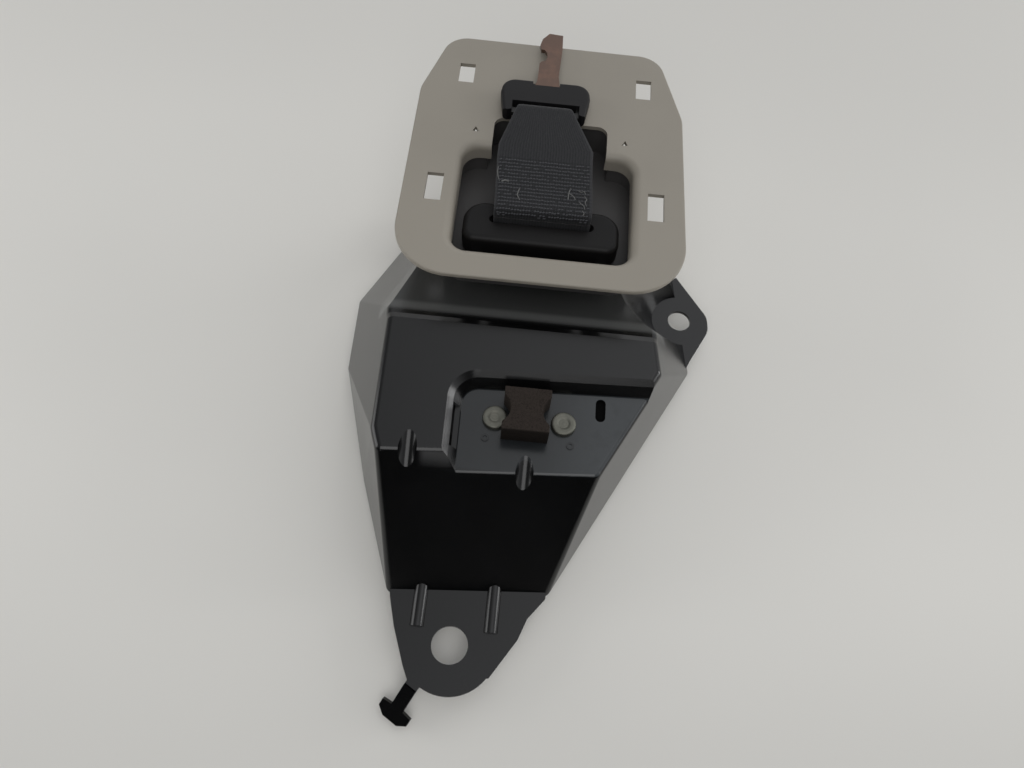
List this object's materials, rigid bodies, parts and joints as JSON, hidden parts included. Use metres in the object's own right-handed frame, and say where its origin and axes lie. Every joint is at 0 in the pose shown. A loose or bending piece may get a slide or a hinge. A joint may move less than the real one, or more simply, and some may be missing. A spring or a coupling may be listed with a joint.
{
  "type": "seat belt",
  "caption": "Ceiling-mounted rear centre seat belt unit: pressed black bracket over the retractor, grey trim bezel with pocket, latch plate and small hooked tongue.",
  "frame": {"origin": "centre of the lower anchor hole on the underside of its ear", "axes": "+Y along the bracket from the lower anchor towards the trim bezel, +Z from the roof panel into the cabin, +X to the right seen from the cabin side"},
  "size_m": [0.1944, 0.338, 0.0986],
  "materials": {
    "bracket_coat": "satin black electrocoat",
    "zinc_steel": "dull zinc plate",
    "machined_steel": "machined and oiled",
    "tongue_steel": "blanked and polished",
    "spring_steel": "blued strip",
    "grey_trim": "fine grained warm grey",
    "black_plastic": "matt black",
    "tongue_plastic": "fine grained charcoal",
    "pale_nylon": "natural nylon",
    "cast_alloy": "die cast",
    "webbing": "woven polyester, charcoal",
    "foam": "open cell foam"
  },
  "bodies": {
    "unit": {"bracket": "bracket_coat", "rivets": "zinc_steel", "foam_block": "foam", "bezel": "grey_trim", "pocket_liner": "black_plastic", "liner_screws": "zinc_steel", "webbing_guide": "black_plastic", "webbing_feed": "webbing", "webbing_riser": "webbing", "retractor_frame": "bracket_coat", "tie_bar": "zinc_steel", "frame_bush_left": "pale_nylon", "frame_bush_right": "pale_nylon", "sensor_housing": "pale_nylon", "sensor_cover": "black_plastic", "sensor_cover_screws": "zinc_steel", "spring_case": "black_plastic", "mainspring": "spring_steel", "spring_cover": "black_plastic", "spring_cover_screws": "zinc_steel", "lock_bar_spring": "spring_steel"},
    "spool_set": {"spool": "cast_alloy", "spool_shaft": "machined_steel", "webbing_pin": "machined_steel", "webbing_roll": "webbing", "ratchet_wheel_left": "machined_steel", "ratchet_wheel_right": "machined_steel", "lock_gear": "pale_nylon", "spring_arbor": "pale_nylon"},
    "belt_end": {"webbing_end": "webbing"},
    "small_tongue": {"small_tongue_head": "tongue_plastic", "small_tongue_blade": "tongue_steel"},
    "main_tongue": {"latch_head": "tongue_plastic", "latch_plate": "tongue_steel"},
    "lock_bar_set": {"lock_bar": "machined_steel"},
    "lever": {"sensor_lever": "pale_nylon"},
    "ball": {"sensor_ball": "machined_steel"}
  },
  "joints": [
    {"name": "spool_spin", "type": "hinge", "parent": "unit", "child": "spool_set", "pos_m": [0.023, 0.0955, 0.017], "axis": [-1, 0, 0], "range_deg": [0, 360], "stiffness_Nm_per_rad": 0.02, "springref_deg": -458.37, "deforming": ["mainspring"]},
    {"name": "belt_pull", "type": "slide", "parent": "unit", "child": "belt_end", "axis": [0, 0, 1], "range_m": [0, 0.156], "deforming": ["webbing_riser"]},
    {"name": "main_tongue_slide", "type": "slide", "parent": "unit", "child": "main_tongue", "axis": [0, 0, 1], "range_m": [0, 0.078]},
    {"name": "small_tongue_pivot", "type": "hinge", "parent": "belt_end", "child": "small_tongue", "pos_m": [0.019, 0.2465, 0.0845], "axis": [1, 0, 0], "range_deg": [0, 80]},
    {"name": "lock_bar_pivot", "type": "hinge", "parent": "unit", "child": "lock_bar_set", "pos_m": [0.023, 0.0705, 0.03], "axis": [1, 0, 0], "range_deg": [0, 10], "stiffness_Nm_per_rad": 0.02, "springref_deg": -11.46, "deforming": ["lock_bar_spring"]},
    {"name": "sensor_ball_rise", "type": "slide", "parent": "unit", "child": "ball", "axis": [0, 0, -1], "range_m": [0, 0.00134]},
    {"name": "sensor_lever_pivot", "type": "hinge", "parent": "unit", "child": "lever", "pos_m": [-0.009, 0.1051, 0.0321], "axis": [1, 0, 0], "range_deg": [0, 8]}
  ],
  "couplings": [
    {"joint": "belt_pull", "follows": "spool_spin", "m_per_rad": 0.0246},
    {"joint": "main_tongue_slide", "follows": "spool_spin", "m_per_rad": 0.0123},
    {"joint": "sensor_lever_pivot", "follows": "sensor_ball_rise", "rad_per_m": 103.88}
  ]
}
